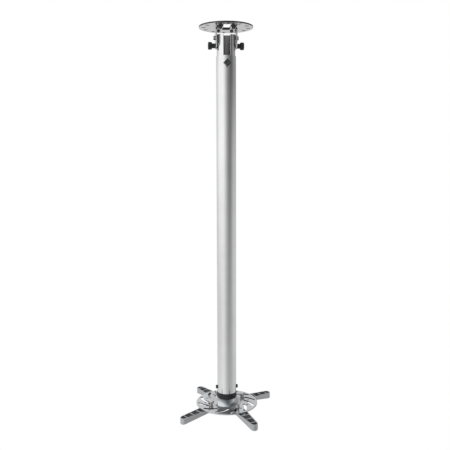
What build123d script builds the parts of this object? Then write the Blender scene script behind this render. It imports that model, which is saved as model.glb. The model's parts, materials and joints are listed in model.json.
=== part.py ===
from build123d import *
import os
from math import atan2, cos, degrees, radians, sin, sqrt, tan

# Projector ceiling mount. Millimetres and degrees.
# The origin is the centre of the ceiling face, +Z is up, X runs along the pivot bolts,
# and -Y is the side with the tube's slot and the clamp screw.

# Ceiling plate
plate_dia = 121.0
plate_thick = 3.0
plate_slot_count = 12
plate_slot_inset = 10.5         # from the plate's rim to the slots' centres
plate_slot_length = 10.0
plate_slot_width = 5.0
window_width = 17.0
window_front = 38.0             # from the axis to the window's front edge
window_back = 8.0               # from the axis to the window's back edge
window_corner = 2.0

# Yoke
yoke_thick = 2.5
yoke_bend = 2.5                 # inside radius of its bends
yoke_base_depth = 51.0
ear_width = 34.0
ear_round_drop = 8.2            # from the pivot down to the centre of the ear's round end
pivot_drop = 19.5               # from the yoke's base down to the pivot
knob_drop = 17.3                # from the pivot down to the knobs
tilt_range = 30.0

# Fixing screws of the yoke
fixing_inset = 6.3              # from the ear's inner face
fixing_spread = 20.0            # from the middle, front and back
fixing_dia = 4.0
fixing_head_dia = 8.0
fixing_nut_flats = 7.0
fixing_nut_thick = 3.2
fixing_tail = 1.2               # how far the screw stands past its nut

# Pivot bolts, one through each ear
pivot_dia = 5.0
pivot_flats = 8.0
pivot_head_thick = 3.5
pivot_tail = 1.5
pivot_washer_dia = 10.0
pivot_washer_thick = 1.0

# Inner tube
inner_wall = 1.5
inner_rise = 7.5                # from the pivot up to the tube's top
inner_slant = 5.0               # how much higher the back of its top end is than the front
slot_width = 14.4
slot_end = 25.0                 # closed ring left at the foot of the slot

# Tilt knobs
stud_dia = 5.0
stud_reach = 7.0                # how far the stud goes in past the tube's wall
knob_boss_dia = 10.6
knob_boss_length = 8.0
knob_head_dia = 16.5
knob_head_thick = 8.2
knob_edge = 0.8
knob_grip_count = 20
knob_grip_depth = 0.5
weld_nut_side = 10.0
weld_nut_thick = 5.0

# Outer tube
outer_dia = 45.0
outer_wall = 1.2
outer_length = 777.0
bare_length = 47.4              # inner tube that shows above it at rest
slide_clearance = 0.3           # between the two tubes, on the radius
slide_travel = 200.0
slide_overlap = 92.6            # of the two tubes at full length

# Clamp screw and its plate
clamp_drop = 17.7               # from the outer tube's top
clamp_dia = 8.0
clamp_head_flats = 13.0
clamp_head_sides = 4
clamp_head_thick = 7.0
clamp_boss_dia = 12.6
clamp_boss_thick = 2.5
clamp_plate_width = 24.0
clamp_plate_height = 30.0
clamp_plate_thick = 4.0
clamp_tail = 4.0

# Tube plug and its bolts
plug_height = 26.0
plug_clearance = 0.1
spigot_dia = 32.0
spigot_length = 4.0
plug_bolt_rise = 11.0           # above the tube's foot
plug_bolt_dia = 5.0
plug_bolt_flats = 8.0
plug_bolt_head = 3.5
plug_bolt_depth = 11.0          # thread inside the plug

# Ball joint
ball_radius = 37.3              # outside of the dome
ball_drop = 42.6                # from the tube's foot to the ball's centre
ball_gap = 0.3                  # between the ball's sliding faces
dome_wall = 2.5
dome_rise = 16.3                # of the dome's foot above the ball's centre
dome_hole_dia = 27.0
head_tilt_range = 11.0
collar_step = 0.7               # how far the collar stands out past the tube
collar_lip = 0.5                # flat edge left round the collar's foot
cup_wall = 2.5
cup_half_angle = 32.0
ball_bolt_dia = 6.0
ball_bolt_flats = 10.0
ball_bolt_head = 4.0
ball_washer_dia = 22.0
ball_washer_edge = 3.0
spring_washer_dia = 12.0
spring_washer_thick = 2.0
ball_nut_thick = 6.0
ball_bolt_tail = 2.0

# Dome screws
dome_screw_count = 4
dome_screw_radius = 27.2
dome_screw_dia = 4.0
dome_screw_head_dia = 7.0
dome_screw_head = 2.4
dome_lug_dia = 8.4
dome_lug_height = 5.0

# Spider disc
disc_dia = 145.0
disc_thick = 3.0
disc_hole_dia = 46.0
disc_edge = 0.6
spiral_count = 12
spiral_width = 6.2
spiral_inner_radius = 44.0      # from the axis to the slot's inner end, on its centre line
spiral_inner_turn = 29.0
spiral_outer_radius = 65.5
spiral_outer_turn = 2.5
spiral_arc = 45.0               # radius of the slot's own arc
round_hole_radius = 51.5
round_hole_turn = 3.0
round_hole_dia = 4.4

# Arms
# Each arm has been swung a little to a direction of its own, from its quarter's start
arm_turns = {"right_rear": 30.6, "left_rear": 26.7, "left_front": 33.3, "right_front": 20.6}
arm_slot_place = 0.03           # where the bolt sits along its slot, 0 inner end to 1 outer end
arm_reach = 86.4                # from the bolt to the tip
arm_root_width = 29.5
arm_tip_width = 17.0
arm_flat = 28.0                 # flat top, from the bolt outwards
arm_foot_flat = 19.0            # flat foot, from the bolt outwards
arm_tip_fall = 3.4              # of the top edge at the tip
arm_root_height = 7.0
arm_tip_height = 14.9
arm_edge = 2.0                  # round on the lower edges
arm_wall = 1.8
arm_floor = 2.2
arm_tip_floor = 5.0
arm_rib = 2.0
arm_rib_inset = 13.1            # from the tip to the last rib
arm_rib_pitch = 18.3
arm_rib_count = 3
arm_boss_dia = 15.0
arm_tip_hole_dia = 5.0
arm_floor_slot_length = 10.0
arm_floor_slot_width = 6.0
arm_bolt_dia = 5.0
arm_bolt_head_dia = 11.0
arm_bolt_head = 3.0
arm_bolt_tail = 1.5
arm_washer_dia = 11.0
arm_washer_thick = 1.0
wing_hub_dia = 9.0
wing_hub_top_dia = 7.2
wing_hub_height = 5.5
wing_span = 16.5
wing_height = 9.0
wing_thick = 2.0
wing_root_round = 1.6
wing_tip_round = 2.2

# Bolt heads and nuts
head_face = 0.95                # round end face, as a share of the flats
head_slope = 30.0               # of the chamfer on the corners

# Clearances
running = 0.05                  # between a turning pin and its hole, on the radius
face_gap = 0.05                 # between flat faces that turn or slide on each other
bolt_room = 0.3                 # between a shank and a plain hole, on the radius
curve_gap = 0.3                 # between curved faces that move past each other

# Levels and radii that follow from the sizes above
plate_slot_radius = plate_dia / 2 - plate_slot_inset
plate_foot = -plate_thick
yoke_foot = plate_foot - yoke_thick
pivot_z = yoke_foot - pivot_drop
knob_z = pivot_z - knob_drop
outer_radius = outer_dia / 2
outer_bore = outer_radius - outer_wall
inner_radius = outer_bore - slide_clearance
inner_dia = 2 * inner_radius
inner_bore = inner_radius - inner_wall
ear_inner = inner_radius + curve_gap
ear_outer = ear_inner + yoke_thick
ear_foot = pivot_z - ear_round_drop - ear_width / 2
fixing_x = ear_inner - fixing_inset
inner_top = pivot_z + inner_rise
inner_foot = inner_top - bare_length - slide_travel - slide_overlap
outer_top = inner_top - bare_length
outer_foot = outer_top - outer_length
clamp_z = outer_top - clamp_drop
plug_top = outer_foot + plug_height
plug_bolt_z = outer_foot + plug_bolt_rise
collar_dia = outer_dia + 2 * collar_step
ball_z = outer_foot - ball_drop
dome_foot = ball_z + dome_rise
disc_foot = dome_foot - disc_thick
cup_outer = ball_radius - dome_wall - ball_gap
cup_inner = cup_outer - cup_wall
washer_ball = cup_inner - ball_gap
washer_foot = ball_z + sqrt(washer_ball**2 - (ball_washer_dia / 2) ** 2) - ball_washer_edge
arm_top = disc_foot - face_gap
above = (Align.CENTER, Align.CENTER, Align.MIN)
below = (Align.CENTER, Align.CENTER, Align.MAX)


def rod(diameter, low, high):
    # Upright round bar between two heights
    return Pos(0, 0, low) * Cylinder(diameter / 2, high - low, align=above)


def prism(flats, low, high, sides=6):
    return Pos(0, 0, low) * extrude(RegularPolygon(flats / 2, sides, major_radius=False), high - low)


def bolt_head(flats, low, high, sides=6):
    # Head or nut with the corners of its top face chamfered
    face = head_face * flats / 2
    spread = (high - low) / tan(radians(head_slope))
    cone = Pos(0, 0, low) * Cone(face + spread, face, high - low, align=above)
    return prism(flats, low, high, sides) & cone


def along_x(shape):
    # Turns an upright shape so that its +Z points along +X
    return Rot(0, 90, 0) * shape


def along_front(shape):
    # Turns an upright shape so that its +Z points along -Y
    return Rot(90, 0, 0) * shape


def fixing_places():
    return [Pos(x, y, 0) for x in (-fixing_x, fixing_x) for y in (-fixing_spread, fixing_spread)]


def window_cut():
    middle = (window_back - window_front) / 2
    outline = RectangleRounded(window_width, window_front + window_back, window_corner)
    return Pos(0, middle, 0) * extrude(outline, yoke_foot * 2)


def make_ceiling_plate():
    outline = Circle(plate_dia / 2)
    slot = SlotOverall(plate_slot_length, plate_slot_width)
    outline -= [place * slot for place in PolarLocations(plate_slot_radius, plate_slot_count)]
    plate = extrude(outline, -plate_thick) - window_cut()
    sink = (fixing_head_dia - fixing_dia) / 2
    hole = rod(fixing_dia + 2 * bolt_room, plate_foot, 0)
    cone = Cone(fixing_dia / 2 + bolt_room, fixing_head_dia / 2 + bolt_room, sink, align=below)
    return plate - [place * (hole + cone) for place in fixing_places()]


def make_yoke():
    tall = plate_foot - ear_foot
    outer = Pos(0, -tall / 2) * Rectangle(2 * ear_outer, tall)
    outer = fillet(outer.vertices().group_by(Axis.Y)[-1], yoke_bend + yoke_thick)
    inner = Pos(0, -yoke_thick - tall / 2) * Rectangle(2 * ear_inner, tall)
    inner = fillet(inner.vertices().group_by(Axis.Y)[-1], yoke_bend)
    strap = Pos(0, 0, plate_foot) * extrude(Plane.XZ * (outer - inner), ear_width / 2, both=True)
    round_z = pivot_z - ear_round_drop
    ear = Pos(0, round_z / 2) * Rectangle(ear_width, -round_z) + Pos(0, round_z) * Circle(ear_width / 2)
    strap &= extrude(Plane.YZ * ear, ear_outer, both=True)
    base_width = 2 * (ear_inner - yoke_bend)
    strap += Pos(0, 0, plate_foot) * Box(base_width, yoke_base_depth, yoke_thick, align=below)
    slot = SlotArc(CenterArc((0, 0), knob_drop, 270 - tilt_range, 2 * tilt_range), stud_dia + 2 * bolt_room)
    holes = Circle(pivot_dia / 2 + running) + slot
    strap -= Pos(0, 0, pivot_z) * extrude(Plane.YZ * holes, 2 * ear_outer, both=True)
    notch_deep = yoke_base_depth / 2 + window_back
    notch = Box(window_width, notch_deep, 2 * yoke_thick, align=(Align.CENTER, Align.MAX, Align.CENTER))
    strap -= Pos(0, window_back, (plate_foot + yoke_foot) / 2) * notch
    hole = rod(fixing_dia + 2 * bolt_room, yoke_foot, plate_foot)
    return strap - [place * hole for place in fixing_places()]


def make_yoke_screws():
    sink = (fixing_head_dia - fixing_dia) / 2
    end = yoke_foot - fixing_nut_thick - fixing_tail
    screw = rod(fixing_dia, end, 0)
    screw += Cone(fixing_dia / 2, fixing_head_dia / 2, sink, align=below)
    return [place * screw for place in fixing_places()]


def make_yoke_nuts():
    nut = bolt_head(fixing_nut_flats, 0, fixing_nut_thick)
    nut -= rod(fixing_dia + 2 * running, 0, fixing_nut_thick)
    hung = Pos(0, 0, yoke_foot) * Rot(180, 0, 0) * nut
    return [place * hung for place in fixing_places()]


def both_sides(shape):
    # A piece on the right, and its mirror image on the left
    return [shape, mirror(shape, Plane.YZ)]


def weld_nut_seat():
    # Flat nuts inside the tube's wall rest on their long edges
    return sqrt(inner_bore**2 - (weld_nut_side / 2) ** 2)


def weld_nut_pair(thread_dia, height):
    nut = Pos(0, 0, weld_nut_seat()) * Box(weld_nut_side, weld_nut_side, weld_nut_thick, align=below)
    nut -= rod(thread_dia + 2 * running, 0, inner_radius)
    return both_sides(Pos(0, 0, height) * along_x(nut))


def make_pivot_bolt():
    seat = ear_outer + pivot_washer_thick
    bolt = rod(pivot_dia, weld_nut_seat() - weld_nut_thick - pivot_tail, seat)
    bolt += bolt_head(pivot_flats, seat, seat + pivot_head_thick)
    return both_sides(Pos(0, 0, pivot_z) * along_x(bolt))


def make_pivot_nut():
    return weld_nut_pair(pivot_dia, pivot_z)


def make_pivot_washers():
    ring = rod(pivot_washer_dia, ear_outer, ear_outer + pivot_washer_thick)
    ring -= rod(pivot_dia + 2 * running, ear_outer, ear_outer + pivot_washer_thick)
    return both_sides(Pos(0, 0, pivot_z) * along_x(ring))


def make_inner_tube():
    high = inner_top + inner_slant
    tube = rod(inner_dia, inner_foot, high) - rod(2 * inner_bore, inner_foot, high)
    slope = degrees(atan2(inner_slant, inner_dia))
    cap = Box(2 * inner_dia, 2 * inner_dia, inner_dia, align=above)
    tube -= Pos(0, 0, inner_top) * Rot(slope, 0, 0) * cap
    slot_foot = inner_foot + slot_end + slot_width / 2
    slot = Pos(0, (slot_foot + inner_top) / 2) * Rectangle(slot_width, inner_top - slot_foot)
    slot += Pos(0, slot_foot) * Circle(slot_width / 2)
    tube -= extrude(Plane.XZ * slot, inner_dia)
    tube -= Pos(0, 0, pivot_z) * along_x(Cylinder(pivot_dia / 2 + running, 2 * inner_dia))
    return tube - Pos(0, 0, knob_z) * along_x(Cylinder(stud_dia / 2 + bolt_room, 2 * inner_dia))


def make_weld_nuts():
    return weld_nut_pair(stud_dia, knob_z)


def knob_seat():
    return ear_outer + face_gap


def make_knob():
    # The right knob, its stud hole open towards the tube
    low = knob_seat()
    head = low + knob_boss_length
    top = head + knob_head_thick
    grip = Circle(knob_head_dia / 2)
    cut = Circle(2 * knob_grip_depth)
    grip -= [place * cut for place in PolarLocations(knob_head_dia / 2 + knob_grip_depth, knob_grip_count)]
    knob = Pos(0, 0, head) * extrude(grip, knob_head_thick)
    knob &= chamfer(rod(knob_head_dia, head, top).edges().filter_by(GeomType.CIRCLE), knob_edge)
    knob += rod(knob_boss_dia, low, head)
    knob -= rod(stud_dia, low, head + knob_head_thick / 2)
    return Pos(0, 0, knob_z) * along_x(knob)


def make_stud():
    end = knob_seat() + knob_boss_length + knob_head_thick / 2
    return Pos(0, 0, knob_z) * along_x(rod(stud_dia, weld_nut_seat() - stud_reach, end))


def make_outer_tube():
    tube = rod(outer_dia, outer_foot, outer_top) - rod(2 * outer_bore, outer_foot, outer_top)
    screw_hole = Cylinder(clamp_dia / 2 + bolt_room, outer_dia, align=above)
    tube -= Pos(0, 0, clamp_z) * along_front(screw_hole)
    return tube - Pos(0, 0, plug_bolt_z) * along_x(Cylinder(plug_bolt_dia / 2 + bolt_room, 2 * outer_dia))


def make_clamp_boss():
    # Saddle under the screw's head, curved to the tube
    boss = rod(clamp_boss_dia, 0, outer_radius + clamp_boss_thick)
    boss -= rod(clamp_dia + 2 * bolt_room, 0, outer_dia)
    boss = Pos(0, 0, clamp_z) * along_front(boss)
    return boss - rod(outer_dia, clamp_z - clamp_boss_dia, clamp_z + clamp_boss_dia)


def make_clamp_plate():
    outer = inner_bore - curve_gap
    band = Circle(outer) - Circle(outer - clamp_plate_thick)
    band &= Pos(0, -outer / 2) * Rectangle(clamp_plate_width, outer)
    plate = extrude(band, clamp_plate_height / 2, both=True)
    plate -= along_front(rod(clamp_dia + 2 * running, 0, outer_dia))
    return Pos(0, 0, clamp_z) * plate


def make_clamp_screw():
    seat = outer_radius + clamp_boss_thick + face_gap
    tip = inner_bore - curve_gap - clamp_plate_thick - clamp_tail
    screw = bolt_head(clamp_head_flats, seat, seat + clamp_head_thick, clamp_head_sides)
    screw += rod(clamp_dia, tip, seat)
    return Pos(0, 0, clamp_z) * along_front(screw)


def make_tube_plug():
    plug = rod(2 * (outer_bore - plug_clearance), outer_foot, plug_top)
    plug += rod(spigot_dia, outer_foot - spigot_length, outer_foot)
    plug -= rod(ball_bolt_dia + 2 * running, outer_foot - spigot_length, plug_top)
    for side in (-1, 1):
        hole = rod(plug_bolt_dia + 2 * running, outer_bore - plug_bolt_depth, outer_dia)
        plug -= Pos(0, 0, plug_bolt_z) * Rot(0, 90 * side, 0) * hole
    return plug


def make_plug_bolts():
    # A flat washer face of the head stands just clear of the round tube
    bolt = rod(plug_bolt_dia, outer_bore - plug_bolt_depth, outer_radius)
    bolt += bolt_head(plug_bolt_flats, outer_radius, outer_radius + plug_bolt_head)
    return [Pos(0, 0, plug_bolt_z) * Rot(0, 90 * side, 0) * bolt for side in (-1, 1)]


def ball(radius):
    return Pos(0, 0, ball_z) * Sphere(radius)


def make_ball_bolt():
    end = washer_foot - spring_washer_thick - ball_nut_thick - ball_bolt_tail
    head = bolt_head(ball_bolt_flats, plug_top, plug_top + ball_bolt_head)
    return rod(ball_bolt_dia, end, plug_top) + head


def make_ball_washer():
    washer = rod(ball_washer_dia, washer_foot, ball_z + ball_radius) & ball(washer_ball)
    return washer - rod(ball_bolt_dia + 2 * running, washer_foot, ball_z + ball_radius)


def make_spring_washer():
    low = washer_foot - spring_washer_thick
    return rod(spring_washer_dia, low, washer_foot) - rod(ball_bolt_dia + 2 * running, low, washer_foot)


def make_ball_nut():
    high = washer_foot - spring_washer_thick
    low = high - ball_nut_thick
    return prism(ball_bolt_flats, low, high) - rod(ball_bolt_dia + 2 * running, low, high)


def make_friction_collar():
    seat = ball_radius + ball_gap
    edge = ball_z + sqrt(seat**2 - (collar_dia / 2) ** 2) + collar_lip
    top = outer_foot - face_gap
    collar = rod(collar_dia, edge, top) - rod(spigot_dia + 2 * curve_gap, edge, top)
    return collar - ball(seat)


def make_clamp_cup():
    rim = ball_z + cup_inner * cos(radians(cup_half_angle))
    cup = (ball(cup_outer) - ball(cup_inner)) & rod(4 * cup_outer, rim, ball_z + ball_radius)
    swing = cup_outer * sin(radians(head_tilt_range))
    bolt = ball_bolt_dia / 2 + bolt_room
    slot = SlotOverall(2 * (swing + bolt / cos(radians(head_tilt_range))), 2 * bolt, rotation=90)
    return cup - Pos(0, 0, ball_z) * extrude(slot, ball_radius)


def lug_places():
    return PolarLocations(dome_screw_radius, dome_screw_count)


def make_ball_dome():
    shell = ball(ball_radius) - ball(ball_radius - dome_wall)
    lug = rod(dome_lug_dia, dome_foot, dome_foot + dome_lug_height)
    for place in lug_places():
        shell += (place * lug) & ball(ball_radius - dome_wall / 2)
    dome = shell & rod(4 * ball_radius, dome_foot, ball_z + 2 * ball_radius)
    dome -= rod(dome_hole_dia, ball_z, ball_z + 2 * ball_radius)
    thread = rod(dome_screw_dia + 2 * running, dome_foot, dome_foot + dome_lug_height)
    return dome - [place * thread for place in lug_places()]


def make_dome_screws():
    screw = rod(dome_screw_dia, disc_foot, dome_foot + dome_lug_height - running)
    screw += rod(dome_screw_head_dia, disc_foot - dome_screw_head, disc_foot)
    return [place * screw for place in lug_places()]


def polar(radius, turn):
    return Vector(radius * cos(radians(turn)), radius * sin(radians(turn)))


def spiral_centre():
    # Centre of the slot's arc, on the inner side of the chord between its ends
    inner = polar(spiral_inner_radius, spiral_inner_turn)
    outer = polar(spiral_outer_radius, spiral_outer_turn)
    half = (outer - inner) * 0.5
    back = sqrt(spiral_arc**2 - half.length**2)
    across = Vector(half.Y, -half.X) / half.length
    return (inner + outer) * 0.5 + across * back


def turn_about_centre(point):
    offset = point - spiral_centre()
    return degrees(atan2(offset.Y, offset.X))


spiral_start = turn_about_centre(polar(spiral_inner_radius, spiral_inner_turn))
spiral_sweep = turn_about_centre(polar(spiral_outer_radius, spiral_outer_turn)) - spiral_start


def make_spider_disc():
    centre = spiral_centre()
    arc = CenterArc((centre.X, centre.Y), spiral_arc, spiral_start, spiral_sweep)
    slot = SlotArc(arc, spiral_width)
    outline = Circle(disc_dia / 2) - Circle(disc_hole_dia / 2)
    outline -= [Rot(0, 0, 360 * k / spiral_count) * slot for k in range(spiral_count)]
    round_places = PolarLocations(round_hole_radius, spiral_count, round_hole_turn)
    outline -= [place * Circle(round_hole_dia / 2) for place in round_places]
    outline -= [place * Circle(dome_screw_dia / 2 + bolt_room) for place in lug_places()]
    disc = Pos(0, 0, disc_foot) * extrude(outline, disc_thick)
    rim = disc.edges().filter_by(GeomType.CIRCLE).sort_by(SortBy.RADIUS)[-2:]
    return chamfer(rim, disc_edge)


def arm_place(quarter, direction):
    # Bolt axis of one arm at the top of the arm, turned to point along it
    turn = radians(spiral_start + arm_slot_place * spiral_sweep)
    bolt = spiral_centre() + Vector(spiral_arc * cos(turn), spiral_arc * sin(turn))
    return Rot(0, 0, 90 * quarter) * Pos(bolt.X, bolt.Y, arm_top) * Rot(0, 0, direction)


def arm_tip_centre():
    return arm_reach - arm_tip_width / 2


def arm_outline(inset):
    # Tapered plan shape with round ends, drawn as the hull of its two end circles
    root = Circle(arm_root_width / 2 - inset)
    tip = Pos(arm_tip_centre(), 0) * Circle(arm_tip_width / 2 - inset)
    return make_hull(root.edges() + tip.edges())


def arm_side(floor):
    # Side view between the top edge and the bottom edge raised by the floor's thickness
    high = arm_root_height
    top = [(-arm_root_width, high), (arm_reach, high)]
    foot_tip = -arm_tip_fall - arm_tip_height + floor
    foot_root = -arm_root_height + floor
    foot = [(arm_reach, foot_tip), (arm_foot_flat, foot_root), (-arm_root_width, foot_root)]
    return extrude(Plane.XZ * Polygon(*top, *foot, align=None), arm_root_width, both=True)


def arm_roof():
    # What lies above the flat and the falling stretch of the top edge
    points = [(-arm_root_width, 0), (arm_flat, 0), (arm_reach, -arm_tip_fall)]
    points += [(arm_reach, arm_root_height), (-arm_root_width, arm_root_height)]
    return extrude(Plane.XZ * Polygon(*points, align=None), arm_root_width, both=True)


def arm_deep():
    return arm_tip_fall + arm_tip_height


def foot_rim(body):
    # Edges round the faces that look down, without the crease between them
    foot = [face for face in body.faces() if face.normal_at().Z < -cos(radians(45))]
    edges = [edge for face in foot for edge in face.edges()]
    return [edge for edge in edges if sum(edge.is_same(other) for other in edges) == 1]


def make_arm():
    body = extrude(arm_outline(0), -arm_deep()) & arm_side(0)
    body = fillet(foot_rim(body), arm_edge) - arm_roof()
    pocket = arm_outline(arm_wall) - Circle(arm_boss_dia / 2)
    cuts = Circle(arm_bolt_dia / 2 + running) + Pos(arm_tip_centre(), 0) * Circle(arm_tip_hole_dia / 2)
    for k in range(arm_rib_count):
        rib = arm_reach - arm_rib_inset - k * arm_rib_pitch
        pocket -= Pos(rib, 0) * Rectangle(arm_rib, arm_root_width)
        cuts += Pos(rib - arm_rib_pitch / 2, 0) * SlotOverall(arm_floor_slot_length, arm_floor_slot_width)
    tip_cell = pocket & Pos(arm_reach, 0) * Rectangle(2 * arm_rib_inset, arm_root_width)
    body -= extrude(pocket - tip_cell, -arm_deep()) & arm_side(arm_floor)
    body -= extrude(tip_cell, -arm_deep()) & arm_side(arm_tip_floor)
    return body - extrude(cuts, -arm_deep())


def washer_low():
    return disc_thick + 2 * face_gap


def make_arm_bolt():
    head = -arm_root_height - face_gap
    end = washer_low() + arm_washer_thick + wing_hub_height + arm_bolt_tail
    return rod(arm_bolt_dia, head, end) + rod(arm_bolt_head_dia, head - arm_bolt_head, head)


def make_arm_washer():
    low = washer_low()
    ring = rod(arm_washer_dia, low, low + arm_washer_thick)
    return ring - rod(arm_bolt_dia + 2 * running, low, low + arm_washer_thick)


def make_wing_nut():
    low = washer_low() + arm_washer_thick + face_gap
    hub = Pos(0, 0, low) * Cone(wing_hub_dia / 2, wing_hub_top_dia / 2, wing_hub_height, align=above)
    root = Pos(wing_hub_dia / 2 - wing_root_round, 2 * wing_root_round) * Circle(wing_root_round)
    tip = Pos(wing_span / 2 - wing_tip_round, wing_height - wing_tip_round) * Circle(wing_tip_round)
    wing = make_hull(root.edges() + tip.edges())
    blade = Pos(0, 0, low) * extrude(Plane.XZ * wing, wing_thick / 2, both=True)
    nut = hub + blade + mirror(blade, Plane.YZ)
    return nut - rod(arm_bolt_dia + 2 * running, low, low + wing_height)


def build_nodes():
    knob = make_knob()
    stud = make_stud()
    nodes = {
        "ceiling_plate": make_ceiling_plate(),
        "yoke": make_yoke(),
        "yoke_screws": make_yoke_screws(),
        "yoke_nuts": make_yoke_nuts(),
        "pivot_bolt": make_pivot_bolt(),
        "pivot_nut": make_pivot_nut(),
        "pivot_washers": make_pivot_washers(),
        "inner_tube": make_inner_tube(),
        "weld_nuts": make_weld_nuts(),
        "right_knob": knob,
        "right_knob_stud": stud,
        "left_knob": Rot(0, 0, 180) * knob,
        "left_knob_stud": Rot(0, 0, 180) * stud,
        "outer_tube": make_outer_tube(),
        "clamp_boss": make_clamp_boss(),
        "clamp_plate": make_clamp_plate(),
        "clamp_screw": make_clamp_screw(),
        "tube_plug": make_tube_plug(),
        "plug_bolts": make_plug_bolts(),
        "ball_bolt": make_ball_bolt(),
        "ball_washer": make_ball_washer(),
        "spring_washer": make_spring_washer(),
        "ball_nut": make_ball_nut(),
        "friction_collar": make_friction_collar(),
        "clamp_cup": make_clamp_cup(),
        "ball_dome": make_ball_dome(),
        "dome_screws": make_dome_screws(),
        "spider_disc": make_spider_disc(),
    }
    arm_pieces = {
        "arm": make_arm(),
        "arm_bolt": make_arm_bolt(),
        "arm_washer": make_arm_washer(),
        "wing_nut": make_wing_nut(),
    }
    for quarter, (corner, direction) in enumerate(arm_turns.items()):
        for piece, shape in arm_pieces.items():
            nodes[f"{piece}_{corner}"] = arm_place(quarter, direction) * shape
    return nodes


os.makedirs("parts", exist_ok=True)
for name, shape in build_nodes().items():
    node = Compound(children=shape) if isinstance(shape, list) else shape
    export_step(node, f"parts/{name}.step")

bolt_place = arm_place(0, 0).position
arc_centre = spiral_centre()
print("first arm bolt", round(bolt_place.X, 4), round(bolt_place.Y, 4))
print("first slot arc centre", round(arc_centre.X, 4), round(arc_centre.Y, 4))
print("slot sweep", round(spiral_sweep, 3), "bolt at", round(arm_slot_place * spiral_sweep, 3))
print("levels", pivot_z, knob_z, clamp_z, ball_z, dome_foot, disc_foot)
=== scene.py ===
import json
import math

import bpy
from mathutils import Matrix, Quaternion, Vector

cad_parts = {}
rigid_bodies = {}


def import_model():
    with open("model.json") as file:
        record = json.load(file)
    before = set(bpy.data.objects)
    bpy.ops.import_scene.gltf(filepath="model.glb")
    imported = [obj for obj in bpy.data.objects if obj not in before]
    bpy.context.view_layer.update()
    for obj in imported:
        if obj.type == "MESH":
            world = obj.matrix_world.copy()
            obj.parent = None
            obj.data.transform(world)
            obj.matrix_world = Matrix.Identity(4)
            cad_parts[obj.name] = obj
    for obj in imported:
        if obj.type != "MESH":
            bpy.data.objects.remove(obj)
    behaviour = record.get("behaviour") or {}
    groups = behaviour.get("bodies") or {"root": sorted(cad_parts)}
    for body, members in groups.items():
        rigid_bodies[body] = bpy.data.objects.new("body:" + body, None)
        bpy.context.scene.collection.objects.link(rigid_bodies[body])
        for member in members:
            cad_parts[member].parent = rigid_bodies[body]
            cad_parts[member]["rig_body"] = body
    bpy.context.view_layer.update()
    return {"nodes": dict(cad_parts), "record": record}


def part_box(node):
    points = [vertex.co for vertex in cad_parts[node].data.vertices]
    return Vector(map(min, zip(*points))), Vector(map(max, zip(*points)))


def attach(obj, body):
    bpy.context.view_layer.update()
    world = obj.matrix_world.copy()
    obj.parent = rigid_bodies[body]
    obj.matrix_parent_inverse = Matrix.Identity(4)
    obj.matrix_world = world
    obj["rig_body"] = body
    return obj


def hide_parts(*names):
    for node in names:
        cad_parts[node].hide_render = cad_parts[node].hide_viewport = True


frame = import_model()
nodes = frame["nodes"]
mm = 0.001
near = 1e-5         # metres, for corners that lie on one line or face
weld = 1e-6         # metres, for corners that are one and the same
print("frame loaded with", len(nodes), "nodes")


# Finishes

class Socket:
    # one output of a node, usable in plain sums
    def __init__(self, tree, outlet):
        self.tree = tree
        self.outlet = outlet

    def maths(self, operation, first, second):
        node = self.tree.nodes.new("ShaderNodeMath")
        node.operation = operation
        for inlet, value in zip(node.inputs, (first, second)):
            if isinstance(value, Socket):
                self.tree.links.new(value.outlet, inlet)
            else:
                inlet.default_value = value
        return Socket(self.tree, node.outputs[0])

    def __add__(self, other):
        return self.maths("ADD", self, other)

    def __radd__(self, other):
        return self.maths("ADD", other, self)

    def __sub__(self, other):
        return self.maths("SUBTRACT", self, other)

    def __rsub__(self, other):
        return self.maths("SUBTRACT", other, self)

    def __mul__(self, other):
        return self.maths("MULTIPLY", self, other)

    def __rmul__(self, other):
        return self.maths("MULTIPLY", other, self)


class NodeBook:
    # a node tree that is filled by one method
    def __init__(self, tree):
        self.tree = tree
        tree.nodes.clear()

    def node(self, kind, settings=None, sockets=None, outlet=0):
        made = self.tree.nodes.new(kind)
        for name, value in (settings or {}).items():
            if name == "stops":
                ramp = made.color_ramp.elements
                while len(ramp) < len(value):
                    ramp.new(0.5)
                for stop, (place, colour) in zip(ramp, value):
                    stop.position = place
                    stop.color = (*colour, 1.0)
            elif name == "blend":
                made.color_ramp.interpolation = value
            else:
                setattr(made, name, value)
        for name, value in (sockets or {}).items():
            if isinstance(value, Socket):
                self.tree.links.new(value.outlet, made.inputs[name])
            else:
                made.inputs[name].default_value = value
        if not made.outputs:
            return None
        if isinstance(outlet, tuple):
            return [Socket(self.tree, made.outputs[name]) for name in outlet]
        return Socket(self.tree, made.outputs[outlet])


def grey(level, warmth=0.0):
    return (level * (1 + warmth), level, level * (1 - warmth))


def newFinish(name):
    material = bpy.data.materials.new(name)
    material.use_nodes = True
    return material, NodeBook(material.node_tree)


def closeFinish(book, fixed, varied):
    # fixed values sit on the shader's own sockets, varied ones are linked
    sockets = dict(fixed)
    sockets.update(varied)
    shader = book.node("ShaderNodeBsdfPrincipled", None, sockets)
    book.node("ShaderNodeOutputMaterial", None, {"Surface": shader})


def grainPattern(book, stretch, scale, detail=3.0):
    # noise on object coordinates, drawn out along an axis by the stretch
    place = book.node("ShaderNodeTexCoord", None, None, "Object")
    turned = book.node("ShaderNodeMapping", None, {"Vector": place, "Scale": stretch})
    return book.node("ShaderNodeTexNoise", None, {"Vector": turned, "Scale": scale, "Detail": detail})


def shadeRamp(book, pattern, dark, light, low=0.35, high=0.65):
    return book.node("ShaderNodeValToRGB", {"stops": [(low, dark), (high, light)]}, {"Fac": pattern})


def mixTones(book, share, first, second):
    # by number, the colour mix's own sockets: its share, its two colours and what comes out
    return book.node("ShaderNodeMix", {"data_type": "RGBA"}, {0: share, 6: first, 7: second}, 2)


# what all the metals share: patches over fine grain, and painted shade in their hollows
metalSet = {"patchShare": 0.7, "patchDetail": 2.0, "grime": 0.85, "grimeTone": (0.02, 0.022, 0.024, 1.0)}


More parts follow.
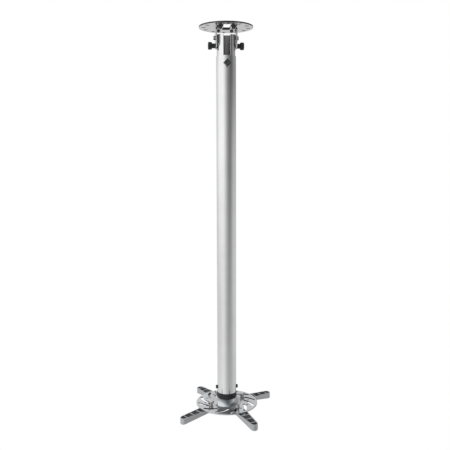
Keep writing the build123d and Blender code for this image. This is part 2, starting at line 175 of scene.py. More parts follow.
def metalFinish(name, look):
    # metal with a fine grain in its colour, gloss and surface
    material, book = newFinish(name)
    grain = grainPattern(book, look["stretch"], look["scale"])
    patches = grainPattern(book, (1.0, 1.0, 1.0), look["patchScale"], metalSet["patchDetail"])
    blotches = patches * metalSet["patchShare"] + grain * (1 - metalSet["patchShare"])
    colour = shadeRamp(book, blotches, look["dark"], look["light"])
    # painted shade: faces that their own piece closes off are darkened towards near black
    hollow = book.node("ShaderNodeAttribute", {"attribute_name": "hollow"}, None, "Fac")
    grime = hollow * look.get("grime", metalSet["grime"])
    colour = mixTones(book, grime, colour, metalSet["grimeTone"])
    gloss = look["rough"] + (grain - 0.5) * look["roughSpread"] + (patches - 0.5) * look["roughPatch"]
    bump = book.node("ShaderNodeBump", None, {
        "Height": grain, "Strength": look["bump"], "Distance": look["bumpDepth"] * mm})
    closeFinish(book, {"Metallic": look["metal"]}, {
        "Base Color": colour, "Roughness": gloss, "Normal": bump})
    return material


satinLook = {
    "dark": grey(0.86, -0.004), "light": grey(0.91, -0.004), "metal": 1.0, "rough": 0.17,
    "roughSpread": 0.04, "roughPatch": 0.03, "stretch": (1.0, 1.0, 0.012), "scale": 2600.0,
    "patchScale": 30.0, "bump": 0.02, "bumpDepth": 0.01,
}
polishLook = dict(satinLook, rough=0.075, roughSpread=0.02, roughPatch=0.02, bump=0.008)
boreLook = dict(polishLook, dark=grey(0.52), light=grey(0.58), rough=0.50)
paintLook = {
    "dark": grey(0.56), "light": grey(0.61), "metal": 0.95, "rough": 0.18,
    "roughSpread": 0.05, "roughPatch": 0.03, "stretch": (1.0, 1.0, 1.0), "scale": 1500.0,
    "patchScale": 40.0, "bump": 0.015, "bumpDepth": 0.02,
}
castLook = {
    "dark": grey(0.68, -0.03), "light": grey(0.74, -0.025), "metal": 1.0, "rough": 0.15,
    "roughSpread": 0.04, "roughPatch": 0.03, "stretch": (1.0, 1.0, 1.0), "scale": 900.0,
    "patchScale": 45.0, "bump": 0.01, "bumpDepth": 0.02,
}
# the arms take a lighter painted shade in their hollows
armLook = dict(
    castLook, dark=grey(0.52, -0.03), light=grey(0.59, -0.025), metal=0.75, rough=0.30, grime=0.62)
discLook = dict(castLook, metal=0.88, rough=0.20)
# near black, painted shade for the sheared edges
edgeShadeLook = {
    "dark": grey(0.05, -0.02), "light": grey(0.10, -0.02), "metal": 0.9, "rough": 0.38,
    "roughSpread": 0.10, "roughPatch": 0.06, "stretch": (1.0, 1.0, 0.2), "scale": 1400.0,
    "patchScale": 120.0, "bump": 0.05, "bumpDepth": 0.02,
}
zincLook = {
    "dark": grey(0.50, 0.01), "light": grey(0.64, 0.005), "metal": 1.0, "rough": 0.26,
    "roughSpread": 0.10, "roughPatch": 0.08, "stretch": (1.0, 1.0, 1.0), "scale": 900.0,
    "patchScale": 160.0, "bump": 0.06, "bumpDepth": 0.02,
}
darkLook = {
    "dark": grey(0.10, -0.03), "light": grey(0.17, -0.03), "metal": 0.95, "rough": 0.26,
    "roughSpread": 0.10, "roughPatch": 0.08, "stretch": (1.0, 1.0, 1.0), "scale": 900.0,
    "patchScale": 180.0, "bump": 0.08, "bumpDepth": 0.02,
}
plugLook = {
    "dark": grey(0.62), "light": grey(0.70), "metal": 1.0, "rough": 0.30,
    "roughSpread": 0.10, "roughPatch": 0.05, "stretch": (1.0, 1.0, 6.0), "scale": 700.0,
    "patchScale": 60.0, "bump": 0.08, "bumpDepth": 0.02,
}
plasticLook = {
    "dark": grey(0.012), "light": grey(0.022), "metal": 0.0, "rough": 0.42,
    "roughSpread": 0.16, "roughPatch": 0.08, "stretch": (1.0, 1.0, 1.0), "scale": 1600.0,
    "patchScale": 90.0, "bump": 0.18, "bumpDepth": 0.04,
}

finishes = {
    "silver_paint": metalFinish("silverPaint", paintLook),
    "satin_aluminium": metalFinish("satinAluminium", satinLook),
    "cast_silver": metalFinish("castSilver", castLook),
    "black_plastic": metalFinish("blackPlastic", plasticLook),
    "zinc_steel": metalFinish("zincSteel", zincLook),
    "dark_steel": metalFinish("darkSteel", darkLook),
    "plug_aluminium": metalFinish("plugAluminium", plugLook),
}
# finishes of single pieces or faces, beside the record's own
# a near black finish for painted shade on sheared edges
cutEdge = metalFinish("cutEdge", edgeShadeLook)
tubePolish = metalFinish("tubePolish", polishLook)
tubeBore = metalFinish("tubeBore", boreLook)
armPaint = metalFinish("armPaint", armLook)
discPaint = metalFinish("discPaint", discLook)
print("finishes made:", len(finishes))


# the record says which finish each node has
nodeSlot = {subpart["node"]: subpart["material_slot"] for subpart in frame["record"]["subparts"]}


def dress(piece, slotName):
    piece.data.materials.clear()
    piece.data.materials.append(finishes[slotName])


for name, node in nodes.items():
    dress(node, nodeSlot[name])
print("nodes dressed:", len(nodeSlot))


# Modelling helpers

wallTilt = 0.5      # a face whose normal rises less than this is a wall
flatAngle = 1.0     # degrees, within which faces count as one flat face


def isWall(face, tilt=wallTilt):
    return abs(face.normal.z) < tilt


def flat(place):
    # the part of a place or direction that lies across the upright axis
    return Vector(place[:2])


def nodesNamed(start):
    return [name for name in nodes if name.startswith(start)]


def clearSelection():
    if bpy.context.mode != "OBJECT":
        bpy.ops.object.mode_set(mode="OBJECT")
    bpy.ops.object.select_all(action="DESELECT")


def activate(piece):
    clearSelection()
    piece.select_set(True)
    bpy.context.view_layer.objects.active = piece


def enterEdit(piece):
    activate(piece)
    bpy.ops.object.mode_set(mode="EDIT")
    bpy.ops.mesh.select_all(action="SELECT")


def leaveEdit():
    bpy.ops.object.mode_set(mode="OBJECT")


def pickCorners(piece, rule):
    # edit mode with only the corners that the rule picks by their place
    enterEdit(piece)
    bpy.ops.mesh.select_all(action="DESELECT")
    leaveEdit()
    for corner in piece.data.vertices:
        corner.select = rule(corner.co)
    bpy.ops.object.mode_set(mode="EDIT")


def closeSkin(piece):
    # one closed skin that faces outwards
    enterEdit(piece)
    bpy.ops.mesh.remove_doubles(threshold=weld)
    bpy.ops.mesh.normals_make_consistent(inside=False)
    leaveEdit()


def applyModifier(piece, kind, settings):
    activate(piece)
    modifier = piece.modifiers.new(kind.lower(), kind)
    for name, value in settings.items():
        setattr(modifier, name, value)
    bpy.ops.object.modifier_apply(modifier=modifier.name)


def softenEdges(piece, width, segments=2, angle=35.0):
    # rounds the sharp edges and keeps the flat faces flat in the shading
    applyModifier(piece, "BEVEL", {
        "width": width * mm, "segments": segments, "limit_method": "ANGLE",
        "angle_limit": math.radians(angle)})
    activate(piece)
    bpy.ops.object.shade_smooth_by_angle(angle=math.radians(angle))
    applyModifier(piece, "WEIGHTED_NORMAL", {"keep_sharp": True})


def markHollows(piece, reach=18.0, turns=8):
    # each face keeps how much of its outlook the piece itself closes off, the share by which the metal
    # finishes paint shade on it
    probes = [(math.cos(2 * math.pi * k / turns), math.sin(2 * math.pi * k / turns)) for k in range(turns)]
    shares = []
    for face in piece.data.polygons:
        up = face.normal.copy()
        side = up.orthogonal().normalized()
        other = up.cross(side)
        start = face.center + up * near
        closed = 0
        for across, along in probes:
            aim = (up + side * across + other * along).normalized()
            closed += piece.ray_cast(start, aim, distance=reach * mm)[0]
        shares.append(closed / turns)
    mask = piece.data.attributes.new("hollow", "FLOAT", "FACE")
    mask.data.foreach_set("value", shares)


def cutAway(piece, cutter):
    applyModifier(piece, "BOOLEAN", {"operation": "DIFFERENCE", "solver": "EXACT", "object": cutter})
    bpy.data.objects.remove(cutter)


def setPlace(piece, place):
    # puts a piece in millimetres, with the place kept in its mesh
    activate(piece)
    piece.location = Vector(place) * mm
    bpy.ops.object.transform_apply(location=True, rotation=True, scale=True)


def copyPiece(piece, name):
    activate(piece)
    bpy.ops.object.duplicate()
    twin = bpy.context.object
    twin.name = name
    return twin


def joinPieces(pieces, name):
    clearSelection()
    for piece in pieces:
        piece.select_set(True)
    bpy.context.view_layer.objects.active = pieces[0]
    bpy.ops.object.join()
    pieces[0].name = name
    return pieces[0]


def skinName(node):
    words = node.split("_")
    return words[0] + "".join(word.title() for word in words[1:]) + "Skin"


def seat(piece, node):
    # the piece stands for a CAD node, on that node's body and with its finish
    dress(piece, nodeSlot[node])
    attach(piece, nodes[node]["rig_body"])
    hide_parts(node)


def extraFinish(piece, finish, rule):
    # faces that the rule picks take a finish of their own
    if len(piece.data.materials) == 1:
        piece.data.polygons.foreach_set("material_index", [0] * len(piece.data.polygons))
    piece.data.materials.append(finish)
    for face in piece.data.polygons:
        if rule(face):
            face.material_index = len(piece.data.materials) - 1


def drawnLine(name, points):
    # one corner, extruded in edit mode from point to point of radii and heights
    clearSelection()
    bpy.ops.mesh.primitive_plane_add(size=mm)
    piece = bpy.context.object
    piece.name = name
    enterEdit(piece)
    bpy.ops.mesh.merge(type="CENTER")
    bpy.ops.transform.translate(value=(points[0][0] * mm, 0.0, points[0][1] * mm))
    for here, there in zip(points, points[1:]):
        step = ((there[0] - here[0]) * mm, 0.0, (there[1] - here[1]) * mm)
        bpy.ops.mesh.extrude_vertices_move(TRANSFORM_OT_translate={"value": step})
    return piece


def turnedPiece(name, profile, steps=128):
    # closed half section, spun round the upright axis
    piece = drawnLine(name, profile + profile[:1])
    bpy.ops.mesh.select_all(action="SELECT")
    bpy.ops.mesh.remove_doubles(threshold=weld)
    bpy.ops.mesh.spin(steps=steps, angle=2 * math.pi, center=(0.0, 0.0, 0.0), axis=(0.0, 0.0, 1.0))
    leaveEdit()
    closeSkin(piece)
    return piece


def arcPoints(radius, height, start, end, count):
    # points of an upright arc round a centre on the axis, angles from the horizontal
    turns = [math.radians(start + (end - start) * k / count) for k in range(count + 1)]
    return [(radius * math.cos(turn), height + radius * math.sin(turn)) for turn in turns]


def mergedCopy(node):
    # copy of a CAD solid as one skin with whole flat faces
    piece = bpy.data.objects.new(skinName(node), nodes[node].data.copy())
    bpy.context.scene.collection.objects.link(piece)
    enterEdit(piece)
    bpy.ops.mesh.remove_doubles(threshold=weld)
    bpy.ops.mesh.dissolve_limited(angle_limit=math.radians(flatAngle))
    leaveEdit()
    return piece


def splitLevel(piece, height):
    # new edges across the piece at one height, where two finishes meet
    enterEdit(piece)
    bpy.ops.mesh.bisect(plane_co=(0.0, 0.0, height * mm), plane_no=(0.0, 0.0, 1.0))
    leaveEdit()


def openSlots(piece, rim, widen):
    # slot walls lean outwards towards the underside, inside the rim's radius
    enterEdit(piece)
    bpy.ops.mesh.quads_convert_to_tris()
    leaveEdit()
    low = min(corner.co.z for corner in piece.data.vertices)
    leans = {}
    for face in piece.data.polygons:
        if isWall(face) and flat(face.center).length < rim * mm:
            for index in face.vertices:
                leans.setdefault(index, Vector())
                leans[index] += face.normal
    for index, lean in leans.items():
        if piece.data.vertices[index].co.z < low + near:
            piece.data.vertices[index].co -= lean.normalized() * widen * mm


# The two tubes

tubeSet = {
    "outerRadius": 22.5, "outerBore": 21.3, "outerTop": -64.9, "outerFoot": -841.9, "rimRound": 0.35,
    "innerRadius": 21.0, "innerBore": 19.5, "innerTop": -17.5, "innerFoot": -357.5, "innerSlant": 5.0,
    "slotWidth": 14.4, "slotFoot": -332.5, "slotRound": 1.0, "slotRoundSteps": 4, "cutterSpare": 20.0,
    "skinDepth": 0.2, "endReach": 1.0, "boreReach": 5.0,
}


def tubeSkin(name, radius, bore, top, foot):
    return turnedPiece(name, [(radius, foot), (radius, top), (bore, top), (bore, foot)])


def makeOuterTube():
    radius, bore = tubeSet["outerRadius"], tubeSet["outerBore"]
    tube = tubeSkin("outerTubeSkin", radius, bore, tubeSet["outerTop"], tubeSet["outerFoot"])
    softenEdges(tube, tubeSet["rimRound"])
    seat(tube, "outer_tube")


def makeInnerTube():
    radius, top = tubeSet["innerRadius"], tubeSet["innerTop"]
    slotLow, width = tubeSet["slotFoot"], tubeSet["slotWidth"]
    tube = tubeSkin("innerTubeSkin", radius, tubeSet["innerBore"], top, tubeSet["innerFoot"])
    # the top end slants up towards the back
    for corner in tube.data.vertices:
        if corner.co.z > (top - tubeSet["endReach"]) * mm:
            corner.co.z += corner.co.y * tubeSet["innerSlant"] / (2 * radius)
    clearSelection()
    bpy.ops.mesh.primitive_cube_add(size=mm, location=(0.0, -radius * mm, (slotLow + top) / 2 * mm))
    cutter = bpy.context.object
    cutter.scale = (width, radius, top - slotLow + tubeSet["cutterSpare"])
    bpy.ops.object.transform_apply(location=True, rotation=True, scale=True)
    cutAway(tube, cutter)

    def onSlotLine(place):
        onWall = abs(abs(place.x) - width / 2 * mm) < near
        return onWall and flat(place).length > (radius - tubeSet["skinDepth"]) * mm

    def facesAxis(face):
        return flat(face.normal).dot(flat(face.center)) < -tubeSet["boreReach"] * mm

    # the slot's long outer edges are rolled
    pickCorners(tube, onSlotLine)
    bpy.ops.mesh.bevel(
        offset=tubeSet["slotRound"] * mm, segments=tubeSet["slotRoundSteps"], affect="EDGES")
    leaveEdit()
    softenEdges(tube, tubeSet["rimRound"])
    seat(tube, "inner_tube")
    tube.data.materials[0] = tubePolish
    extraFinish(tube, tubeBore, facesAxis)


makeOuterTube()
makeInnerTube()
print("tubes turned")


# Ball joint: collar and dome

jointSet = {
    "ballHeight": -884.5, "arcSteps": 18,
    "collarRadius": 23.2, "collarTop": -841.95, "collarFoot": -854.41, "collarBore": 16.3,
    "collarSeat": 37.6, "collarRound": 0.6, "collarRoundSteps": 3,
    "domeRadius": 37.3, "domeWall": 2.5, "domeHole": 13.5, "domeRise": 16.3, "domeRound": 0.5,
}


def makeCollar():
    ball, rim, bore = jointSet["ballHeight"], jointSet["collarSeat"], jointSet["collarBore"]
    radius, top, foot = jointSet["collarRadius"], jointSet["collarTop"], jointSet["collarFoot"]
    low = math.degrees(math.asin((foot - ball) / rim))
    high = math.degrees(math.acos(bore / rim))
    seatArc = arcPoints(rim, ball, low, high, jointSet["arcSteps"])
    collar = turnedPiece("collarSkin", [(bore, top), (radius, top), (radius, foot)] + seatArc)
    softenEdges(collar, jointSet["collarRound"], jointSet["collarRoundSteps"])
    seat(collar, "friction_collar")


def makeDome():
    ball, outside = jointSet["ballHeight"], jointSet["domeRadius"]
    arcs = []
    for radius in (outside, outside - jointSet["domeWall"]):
        low = math.degrees(math.asin(jointSet["domeRise"] / radius))
        high = math.degrees(math.acos(jointSet["domeHole"] / radius))
        arcs.append(arcPoints(radius, ball, low, high, jointSet["arcSteps"]))
    dome = turnedPiece("domeSkin", arcs[0] + arcs[1][::-1])
    softenEdges(dome, jointSet["domeRound"])
    seat(dome, "ball_dome")


makeCollar()
makeDome()
print("ball joint turned")


# Pressed plates and cast arms keep the CAD shapes, with their edges rounded

softSet = {
    "ceiling_plate": 0.35, "yoke": 0.4, "spider_disc": 0.3, "arm_right_rear": 0.5, "arm_left_rear": 0.5,
    "arm_left_front": 0.5, "arm_right_front": 0.5,
}
sheetSet = {"discRim": 71.0, "discHole": 24.8, "slotWiden": 1.6, "slotTilt": 0.7, "yokeFoot": -9.0}


def slotEdge(face):
    # painted shade goes on the disc's slot walls, not on its own rim and hole
    away = flat(face.center).length / mm
    return isWall(face, sheetSet["slotTilt"]) and sheetSet["discHole"] < away < sheetSet["discRim"]


def yokeEdge(face):
    return face.center.z > sheetSet["yokeFoot"] * mm and abs(face.normal.y) > wallTilt


def earEdge(face):
    return face.center.z < sheetSet["yokeFoot"] * mm and abs(face.normal.x) < wallTilt


# painted shade: sheared edges take a near black finish; the yoke's ear edges take the lighter satin finish
# as a painted highlight
edgeRules = {
    "ceiling_plate": [(cutEdge, isWall)],
    "spider_disc": [(cutEdge, slotEdge)],
    "yoke": [(cutEdge, yokeEdge), (finishes["satin_aluminium"], earEdge)],
}


def makeSheetsAndArms():
    for node, width in softSet.items():
        skin = mergedCopy(node)
        if node == "spider_disc":
            openSlots(skin, sheetSet["discRim"], sheetSet["slotWiden"])
        if node == "yoke":
            splitLevel(skin, sheetSet["yokeFoot"])
        softenEdges(skin, width)
        seat(skin, node)
        for finish, rule in edgeRules.get(node, []):
            extraFinish(skin, finish, rule)
        if node == "spider_disc":
            skin.data.materials[0] = discPaint
        if node.startswith("arm_"):
            skin.data.materials[0] = armPaint
            # painted shade in the arms' hollows
            markHollows(skin)


makeSheetsAndArms()
print("plates and arms rounded")


# Screws and bolts: turned shanks with a wound thread and a hex socket in the head

armBoltSet = {
    "head": 5.5, "headThick": 3.0, "crown": 0.8, "shank": 2.5, "threadFrom": -868.0, "pitch": 0.8,
    "depth": 0.42, "socket": 2.3, "socketDeep": 1.8, "chamfer": 0.4, "threadEnd": 0.2, "edge": 0.15,
}
yokeScrewSet = {
    "head": 4.0, "sink": 2.0, "rim": 0.1, "shank": 2.0, "threadFrom": -5.6, "pitch": 0.7, "depth": 0.36,
    "socket": 1.45, "socketDeep": 1.5, "chamfer": 0.3, "threadEnd": 0.1, "edge": 0.1,
    "across": 15.0, "along": 20.0,
}
domeScrewSet = {
    "head": 3.5, "headThick": 2.4, "headChamfer": 0.6, "shank": 2.0, "socket": 1.45, "socketDeep": 1.4,
    "chamfer": 0.4, "edge": 0.15, "away": 27.2,
}
screwSides = 48
threadSides = 20


def windThread(name, radius, depth, pitch, low, high):
    # a ridge of one pitch, wound up the shank
    root = radius - depth
    ridge = drawnLine(name, [(root, low), (radius, low + pitch / 2), (root, low + pitch)])
    leaveEdit()
    turns = max(1, int((high - low) / pitch - 1))
    applyModifier(ridge, "SCREW", {
        "axis": "Z", "angle": 2 * math.pi, "screw_offset": pitch * mm, "iterations": turns,
        "steps": threadSides, "render_steps": threadSides, "use_merge_vertices": True,
        "merge_threshold": weld})
    enterEdit(ridge)
    if sum(flat(face.normal).dot(flat(face.center)) for face in ridge.data.polygons) < 0:
        bpy.ops.mesh.flip_normals()
    leaveEdit()
    return ridge


def cutSocket(piece, radius, face, floor):
    # hex socket between the head's face and the socket's floor
    clearSelection()
    bpy.ops.mesh.primitive_cylinder_add(
        vertices=6, radius=radius * mm, depth=2 * abs(face - floor) * mm, location=(0, 0, face * mm))
    cutAway(piece, bpy.context.object)


def heights(node):
    return [corner[2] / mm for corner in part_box(node)]


def seatGroup(screw, places, node):
    # copies of one screw, joined to a group that stands for the node
    twins = []
    for place in places:
        twin = copyPiece(screw, screw.name + "Twin")
        setPlace(twin, (*place, 0.0))
        twins.append(twin)
    bpy.data.objects.remove(screw)
    seat(joinPieces(twins, skinName(node)), node)


def makeArmBolts():
    low, high = heights("arm_bolt_right_rear")
    head, crown, shank = armBoltSet["head"], armBoltSet["crown"], armBoltSet["shank"]
    neck, start, chamfer = low + armBoltSet["headThick"], armBoltSet["threadFrom"], armBoltSet["chamfer"]
    root = shank - armBoltSet["depth"]
    profile = [
        (0.0, low), (head - 2 * crown, low), (head - crown / 2, low + crown / 2), (head, low + 1.5 * crown),
        (head, neck), (shank, neck), (shank, start), (root, start + chamfer), (root, high - chamfer),
        (root - chamfer, high), (0.0, high)]
    bolt = turnedPiece("armBolt", profile, screwSides)
    cutSocket(bolt, armBoltSet["socket"], low, low + armBoltSet["socketDeep"])
    softenEdges(bolt, armBoltSet["edge"])
    thread = windThread(
        "armThread", shank, armBoltSet["depth"], armBoltSet["pitch"], start, high - armBoltSet["threadEnd"])
    bolt = joinPieces([bolt, thread], "armBolt")
    for node in nodesNamed("arm_bolt_"):
        lower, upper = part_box(node)
        twin = copyPiece(bolt, skinName(node))
        setPlace(twin, [(lower[0] + upper[0]) / 2 / mm, (lower[1] + upper[1]) / 2 / mm, 0.0])
        seat(twin, node)
    bpy.data.objects.remove(bolt)


def makeYokeScrews():
    low = heights("yoke_screws")[0]
    head, sink, rim = yokeScrewSet["head"], yokeScrewSet["sink"], yokeScrewSet["rim"]
    shank, start, chamfer = yokeScrewSet["shank"], yokeScrewSet["threadFrom"], yokeScrewSet["chamfer"]
    root = shank - yokeScrewSet["depth"]
    profile = [
        (0.0, low), (root - chamfer, low), (root, low + chamfer), (root, start - chamfer), (shank, start),
        (shank, -sink), (head, -rim), (head - rim, 0.0), (0.0, 0.0)]
    screw = turnedPiece("yokeScrew", profile, screwSides)
    cutSocket(screw, yokeScrewSet["socket"], 0.0, -yokeScrewSet["socketDeep"])
    softenEdges(screw, yokeScrewSet["edge"])
    thread = windThread(
        "yokeThread", shank, yokeScrewSet["depth"], yokeScrewSet["pitch"],
        low + yokeScrewSet["threadEnd"], start)
    screw = joinPieces([screw, thread], "yokeScrew")
    across, along = yokeScrewSet["across"], yokeScrewSet["along"]
    seatGroup(screw, [(x, y) for x in (-across, across) for y in (-along, along)], "yoke_screws")


def makeDomeScrews():
    low, high = heights("dome_screws")
    head, shank, neck = domeScrewSet["head"], domeScrewSet["shank"], low + domeScrewSet["headThick"]
    slope, chamfer = domeScrewSet["headChamfer"], domeScrewSet["chamfer"]
    profile = [
        (0.0, low), (head - slope, low), (head, low + slope), (head, neck), (shank, neck),
        (shank, high - chamfer), (shank - chamfer, high), (0.0, high)]
    screw = turnedPiece("domeScrew", profile, screwSides)
    cutSocket(screw, domeScrewSet["socket"], low, low + domeScrewSet["socketDeep"])
    softenEdges(screw, domeScrewSet["edge"])
    away = domeScrewSet["away"]
    seatGroup(screw, [(away, 0.0), (0.0, away), (-away, 0.0), (0.0, -away)], "dome_screws")


makeArmBolts()
makeYokeScrews()
makeDomeScrews()
print("screws wound")


# Small parts keep the CAD shapes, with their edges rounded and painted shade in the wing nuts' hollows

smallSet = {
    "pivot_bolt": 0.25, "pivot_washers": 0.2, "pivot_nut": 0.3, "weld_nuts": 0.3, "plug_bolts": 0.3,
    "clamp_screw": 0.5, "clamp_boss": 0.3, "clamp_plate": 0.4, "yoke_nuts": 0.2, "ball_nut": 0.3,
    "ball_bolt": 0.3, "ball_washer": 0.2, "spring_washer": 0.2, "clamp_cup": 0.3, "tube_plug": 0.4,
    "left_knob_stud": 0.3, "right_knob_stud": 0.3, "arm_washer_": 0.2, "wing_nut_": 0.45,
}
darkNodes = ("yoke_nuts", "plug_bolts")     # these take the dark steel finish
wingReach = 6.0


def makeSmallParts():
    for start, width in smallSet.items():
        for node in nodesNamed(start):
            skin = mergedCopy(node)
            softenEdges(skin, width)
            seat(skin, node)
            if node in darkNodes:
                dress(skin, "dark_steel")
            if start == "wing_nut_":
                # painted shade in the wing nuts' hollows
                markHollows(skin, wingReach)


makeSmallParts()
print("small parts rounded")


# Knobs with a dished end

knobSet = {"edge": 0.35, "rimWide": 2.4, "dish": 0.7, "dishEdge": 0.8}


def makeKnob(node):
    knob = mergedCopy(node)
    outwards = 1 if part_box(node)[1][0] > 0 else -1
    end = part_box(node)[1 if outwards > 0 else 0][0]
    pickCorners(knob, lambda place: abs(place.x - end) < near)
    bpy.ops.mesh.inset(thickness=knobSet["rimWide"] * mm)
    bpy.ops.mesh.inset(thickness=knobSet["dishEdge"] * mm)
    bpy.ops.transform.translate(value=(-outwards * knobSet["dish"] * mm, 0.0, 0.0))
    leaveEdit()
    softenEdges(knob, knobSet["edge"])
    seat(knob, node)


makeKnob("left_knob")
makeKnob("right_knob")
print("knobs dished")


# Camera, at the photograph's angle

# place in metres, angles in degrees, focal length and frame in pixels of the photograph
cameraSet = {
    "place": (-0.1485, -1.3820, -0.2856), "turn": -6.0, "dip": 6.52, "roll": -0.149, "focal": 605.97,
    "frame": 450, "sensor": 36.0, "clipStart": 0.05,
}


def placeCamera():
    lens = bpy.data.cameras.new("photoCamera")
    lens.sensor_width = cameraSet["sensor"]
    lens.lens = cameraSet["focal"] / cameraSet["frame"] * cameraSet["sensor"]
    lens.clip_start = cameraSet["clipStart"]
    camera = bpy.data.objects.new("photoCamera", lens)
    bpy.context.scene.collection.objects.link(camera)
    turn = math.radians(cameraSet["turn"])
    dip = math.radians(cameraSet["dip"])
    ahead = Vector((-math.sin(turn) * math.cos(dip), math.cos(turn) * math.cos(dip), -math.sin(dip)))
    aim = ahead.to_track_quat("-Z", "Y") @ Quaternion((0, 0, 1), math.radians(cameraSet["roll"]))
    camera.location = cameraSet["place"]
    camera.rotation_euler = aim.to_euler()
    bpy.context.scene.camera = camera


placeCamera()
print("camera placed")


# Stage: floor, cards that the metal mirrors, lamps and world

stageSet = {
    "floorDrop": 2.4, "floorSize": 14.0, "floorTone": 0.80, "worldDiffuse": 0.36,
    "lampAim": (0.0, 0.0, -0.45),
    "lamps": {
        "keyLamp": {"place": (-1.5, -1.5, 0.6), "size": 1.3, "power": 40.0},
        "fillLamp": {"place": (1.6, -0.9, -0.2), "size": 1.4, "power": 2.0},
    },
}
# a screen round the object: at each height, greys for nine directions as shares of a turn
screenSet = {
    "radius": 2.6, "low": -2.39, "high": 1.6, "sides": 96,
    # left, left front, front, two at the right front, right, right back, back and left back
    "turns": (0.0, 0.14, 0.25, 0.35, 0.43, 0.51, 0.65, 0.76, 0.88),
    "rings": [
        (0.6, (1.0, 1.0, 0.40, 0.10, 0.12, 0.40, 0.50, 0.80, 0.50)),
        (0.25, (1.0, 1.0, 0.42, 0.16, 0.14, 0.25, 0.35, 0.80, 0.70)),
        (-0.25, (1.0, 1.0, 0.45, 0.20, 0.35, 0.50, 0.50, 0.80, 0.70)),
        (-0.9, (0.80, 0.80, 0.45, 0.28, 0.45, 0.60, 0.60, 0.80, 0.65)),
        (-1.35, (0.65, 0.75, 0.42, 0.34, 0.48, 0.60, 0.65, 0.80, 0.65)),
        (-1.8, (0.75, 0.80, 0.50, 0.42, 0.50, 0.60, 0.60, 0.80, 0.70)),
    ],
}
# a canopy over it, with a darker middle
canopySet = {
    "middle": grey(0.10, -0.10),
    "edge": [
        (0.0, grey(1.0)), (0.14, grey(1.0)), (0.20, grey(0.55, -0.05)), (0.25, grey(0.24, -0.10)),
        (0.31, grey(0.20, -0.10)), (0.38, grey(0.45, -0.04)), (0.5, grey(0.85)), (0.75, grey(0.60)),
        (0.90, grey(0.34, -0.06)), (0.96, grey(0.45, -0.05)), (1.0, grey(0.9))],
}


def directionOf(book, place):
    return book.node("ShaderNodeTexGradient", {"gradient_type": "RADIAL"}, {"Vector": place}, "Fac")


def closeCard(book, tone):
    glow = book.node("ShaderNodeEmission", None, {"Color": tone, "Strength": 1.0})
    book.node("ShaderNodeOutputMaterial", None, {"Surface": glow})


def screenFinish():
    # rings of greys, each fading into the next one below it
    material, book = newFinish("screenPaint")
    place = book.node("ShaderNodeTexCoord", None, None, "Object")
    around = directionOf(book, place)
    height = book.node("ShaderNodeSeparateXYZ", None, {"Vector": place}, "Z")
    turns = screenSet["turns"] + (1.0,)
    tone = None
    above = 0.0
    for level, tones in screenSet["rings"]:
        # the first grey is also the last, which closes the ring
        stops = [(turn, grey(shade)) for turn, shade in zip(turns, tones + tones[:1])]
        ring = book.node("ShaderNodeValToRGB", {"stops": stops, "blend": "CARDINAL"}, {"Fac": around})
        if tone:
            share = (above - height) * (1 / (above - level))
            tone = mixTones(book, share, tone, ring)
        else:
            tone = ring
        above = level
    closeCard(book, tone)
    return material


def canopyFinish():
    # greys by direction at the edge, fading to the darker middle overhead
    material, book = newFinish("canopyPaint")
    place = book.node("ShaderNodeTexCoord", None, None, "Object")
    ring = book.node("ShaderNodeValToRGB", {"stops": canopySet["edge"]}, {"Fac": directionOf(book, place)})
    across, along = book.node("ShaderNodeSeparateXYZ", None, {"Vector": place}, ("X", "Y"))
    share = (across * across + along * along) * (1 / screenSet["radius"] ** 2)
    closeCard(book, mixTones(book, share, (*canopySet["middle"], 1.0), ring))
    return material


def floorFinish():
    # pale paint that the camera sees as white
    material, book = newFinish("floorPaint")
    isCamera = book.node("ShaderNodeLightPath", None, None, "Is Camera Ray")
    paint = book.node("ShaderNodeBsdfDiffuse", None, {"Color": (*grey(stageSet["floorTone"]), 1.0)})
    white = book.node("ShaderNodeEmission", None, {"Color": (1.0, 1.0, 1.0, 1.0), "Strength": 1.0})
    mixed = book.node("ShaderNodeMixShader", None, {0: isCamera, 1: paint, 2: white})
    book.node("ShaderNodeOutputMaterial", None, {"Surface": mixed})
    return material


def makeFloor():
    clearSelection()
    bpy.ops.mesh.primitive_plane_add(size=stageSet["floorSize"], location=(0, 0, -stageSet["floorDrop"]))
    floor = bpy.context.object
    floor.name = "floor"
    floor.data.materials.append(floorFinish())


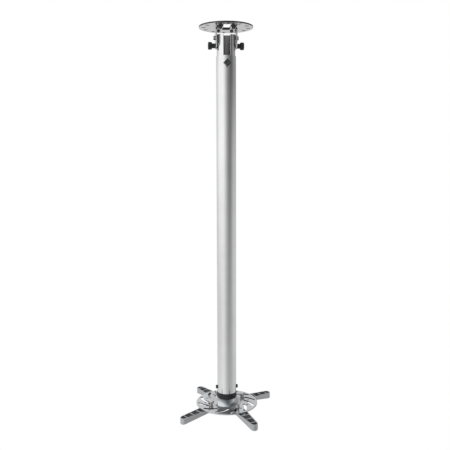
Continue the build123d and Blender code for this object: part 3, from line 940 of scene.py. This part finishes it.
def makeCards():
    # screen and canopy, which only mirrored light meets
    low, high, sides = screenSet["low"], screenSet["high"], screenSet["sides"]
    clearSelection()
    bpy.ops.mesh.primitive_cylinder_add(
        vertices=sides, radius=screenSet["radius"], depth=high - low, end_fill_type="NOTHING",
        location=(0, 0, (low + high) / 2))
    screen = bpy.context.object
    screen.name = "screen"
    screen.data.materials.append(screenFinish())
    clearSelection()
    bpy.ops.mesh.primitive_circle_add(
        vertices=sides, radius=screenSet["radius"], fill_type="NGON", location=(0, 0, high))
    canopy = bpy.context.object
    canopy.name = "canopy"
    canopy.data.materials.append(canopyFinish())
    for card in (screen, canopy):
        activate(card)
        bpy.ops.object.transform_apply(location=True, rotation=True, scale=True)
        card.visible_camera = False
        card.visible_diffuse = False
        card.visible_shadow = False
        card.visible_transmission = False


def hangLamps():
    for name, lamp in stageSet["lamps"].items():
        light = bpy.data.lights.new(name, "AREA")
        light.size = lamp["size"]
        light.energy = lamp["power"]
        holder = bpy.data.objects.new(name, light)
        holder.location = lamp["place"]
        aim = Vector(stageSet["lampAim"]) - Vector(lamp["place"])
        holder.rotation_euler = aim.to_track_quat("-Z", "Y").to_euler()
        holder.visible_glossy = False
        bpy.context.scene.collection.objects.link(holder)


def makeWorld():
    # white where it is seen or mirrored, and softer as light
    world = bpy.data.worlds.new("studio")
    bpy.context.scene.world = world
    world.use_nodes = True
    book = NodeBook(world.node_tree)
    camera, glossy, through = book.node(
        "ShaderNodeLightPath", None, None, ("Is Camera Ray", "Is Glossy Ray", "Is Transmission Ray"))
    soft = book.node("ShaderNodeBackground", None, {
        "Color": (1.0, 1.0, 1.0, 1.0), "Strength": stageSet["worldDiffuse"]})
    white = book.node("ShaderNodeBackground", None, {"Color": (1.0, 1.0, 1.0, 1.0), "Strength": 1.0})
    mixed = book.node("ShaderNodeMixShader", None, {0: camera + glossy + through, 1: soft, 2: white})
    book.node("ShaderNodeOutputWorld", None, {"Surface": mixed})


makeFloor()
makeCards()
hangLamps()
makeWorld()
bpy.context.scene.view_settings.view_transform = "Standard"
print("stage set")
